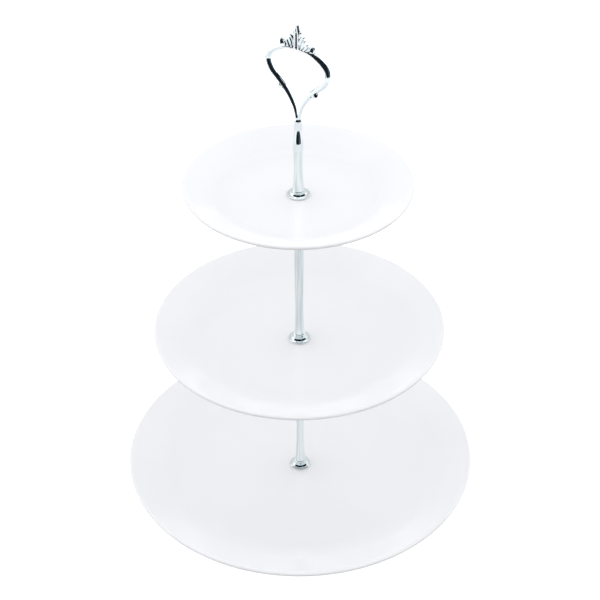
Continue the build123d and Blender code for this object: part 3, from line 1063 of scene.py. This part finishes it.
cloth = add(room, "ShaderNodeMix", {"Factor": slit, 6: linear("161d25"), 7: linear("5b7484")},
            data_type="RGBA").outputs[2]
box = math_node("MULTIPLY", between(azimuth, BOX_FROM, BOX_TO, BOX_SOFT[0]),
                between(elevation, BOX_LOW, BOX_HIGH, BOX_SOFT[1]))
behind = math_node("MULTIPLY", step(off, BACK_FROM, BACK_SOFT[0]),
                   between(elevation, BACK_LOW, BACK_HIGH, BACK_SOFT[1]))
low_behind = math_node("MULTIPLY", step(off, LOW_FROM, LOW_SOFT[0]),
                       math_node("SUBTRACT", 1.0, step(elevation, LOW_TO, LOW_SOFT[1])))
print("the oval spans", 2 * OVAL_WIDE, "by", 2 * OVAL_TALL, "degrees")

# %% [markdown]
# Mirror rays and light are told apart. The light is stronger from the sides than from above, so
# it also reaches the lower plates, and a little weaker from the dark front. Only the first
# reflection sees the dark oval. Otherwise the glaze would mirror rods that mirror the oval, and
# show black blotches. What a reflection mirrors in turn is the plain room, 1.3 times as bright.

# %% Light and reflections
MIRRORED = 1.25  # strength of the plain room in a reflection
BOX_GAIN, BACK_LOSS, LOW_LOSS = 0.4, 0.45, 0.8
AGAIN_GAIN = 0.3  # share by which later reflections see the room brighter
SIDE_LIGHT, TOP_LOSS = 1.61, 0.82
TURN_EL, TURN_SOFT = 40.0, 30.0  # where side light turns into top light, in degrees
FRONT_LOSS = 0.22
mirrored = math_node("MULTIPLY_ADD", box, BOX_GAIN, MIRRORED)
mirrored = math_node("MULTIPLY_ADD", behind, -BACK_LOSS, mirrored)
mirrored = math_node("MULTIPLY_ADD", low_behind, -LOW_LOSS, mirrored)
lighting = math_node("MULTIPLY_ADD", step(elevation, TURN_EL, TURN_SOFT), -TOP_LOSS,
                     SIDE_LIGHT)
lighting = math_node("MULTIPLY", lighting, math_node("MULTIPLY_ADD", dark, -FRONT_LOSS, 1.0))
path = add(room, "ShaderNodeLightPath").outputs
ray = path["Is Glossy Ray"]
first = math_node("LESS_THAN", path["Glossy Depth"], 1.5)
paint = add(room, "ShaderNodeMix", {
    "Factor": math_node("MULTIPLY", math_node("MULTIPLY", ray, first), dark),
    6: linear("fefeff"), 7: cloth}, data_type="RGBA")
mirrored = math_node("MULTIPLY", mirrored,
                     math_node("MULTIPLY_ADD", first, -AGAIN_GAIN, 1 + AGAIN_GAIN))
strength = add(room, "ShaderNodeMix", {"Factor": ray, "A": lighting, "B": mirrored})
glow = add(room, "ShaderNodeBackground", {
    "Color": paint.outputs[2], "Strength": strength.outputs[0]})
add(room, "ShaderNodeOutputWorld", {"Surface": glow.outputs["Background"]})
print("room:", len(room.nodes), "nodes")

# %% [markdown]
# ## Table
# The table looks white to the camera. To everything else it is grey, because a real table is
# shaded by the plates above it; that keeps the underside of each rim a little darker. Mirror
# rays miss it: the polished parts mirror the room instead.

# %% Table top
TABLE_HALF = 3
table_mesh = bpy.data.meshes.new("white_table")
table_mesh.from_pydata(
    [(x * TABLE_HALF, y * TABLE_HALF, 0) for x, y in ((-1, -1), (1, -1), (1, 1), (-1, 1))],
    [], [(0, 1, 2, 3)])
table = bpy.data.objects.new("white_table", table_mesh)
bpy.context.scene.collection.objects.link(table)
table_paint, tree, out = new_material("white table top")
ray = add(tree, "ShaderNodeLightPath")
white = add(tree, "ShaderNodeBsdfDiffuse", {"Color": linear("f4f5f6")})
grey = add(tree, "ShaderNodeBsdfDiffuse", {"Color": linear("5a5451")})
bright = add(tree, "ShaderNodeEmission", {"Color": linear("ffffff"), "Strength": 0.9})
lit = add(tree, "ShaderNodeAddShader", {0: white.outputs[0], 1: bright.outputs[0]})
seen = add(tree, "ShaderNodeMixShader", {0: ray.outputs["Is Camera Ray"], 1: grey.outputs[0],
                                         2: lit.outputs[0]})
tree.links.new(seen.outputs[0], out.inputs["Surface"])
table_mesh.materials.append(table_paint)
table.visible_glossy = False
print("table:", table_paint.name)

# %% [markdown]
# ## Camera
# The camera looks down at about 37 degrees from in front and to the right, a little more than a
# metre away, with a long lens.

# %% Camera and view
CAMERA_AZ, CAMERA_EL, CAMERA_ROLL = 35.0, 36.584, -0.38  # degrees
CAMERA_DISTANCE = 1.05056  # metres
TARGET = Vector((0, 0, 0.1608))
az, el = math.radians(CAMERA_AZ), math.radians(CAMERA_EL)
back = Vector((math.sin(az) * math.cos(el), -math.cos(az) * math.cos(el), math.sin(el)))
lens = bpy.data.cameras.new("camera")
lens.sensor_width = 36.0
lens.lens = 90.888
lens.shift_x, lens.shift_y = 0.0014, 0.0012
camera = bpy.data.objects.new("camera", lens)
camera.location = TARGET + back * CAMERA_DISTANCE
camera.rotation_mode = "QUATERNION"
camera.rotation_quaternion = back.to_track_quat("Z", "Y") @ Quaternion(
    (0, 0, 1), math.radians(CAMERA_ROLL))
bpy.context.scene.collection.objects.link(camera)
bpy.context.scene.camera = camera
bpy.context.scene.view_settings.view_transform = "Standard"
print("camera at", [round(v, 3) for v in camera.location])
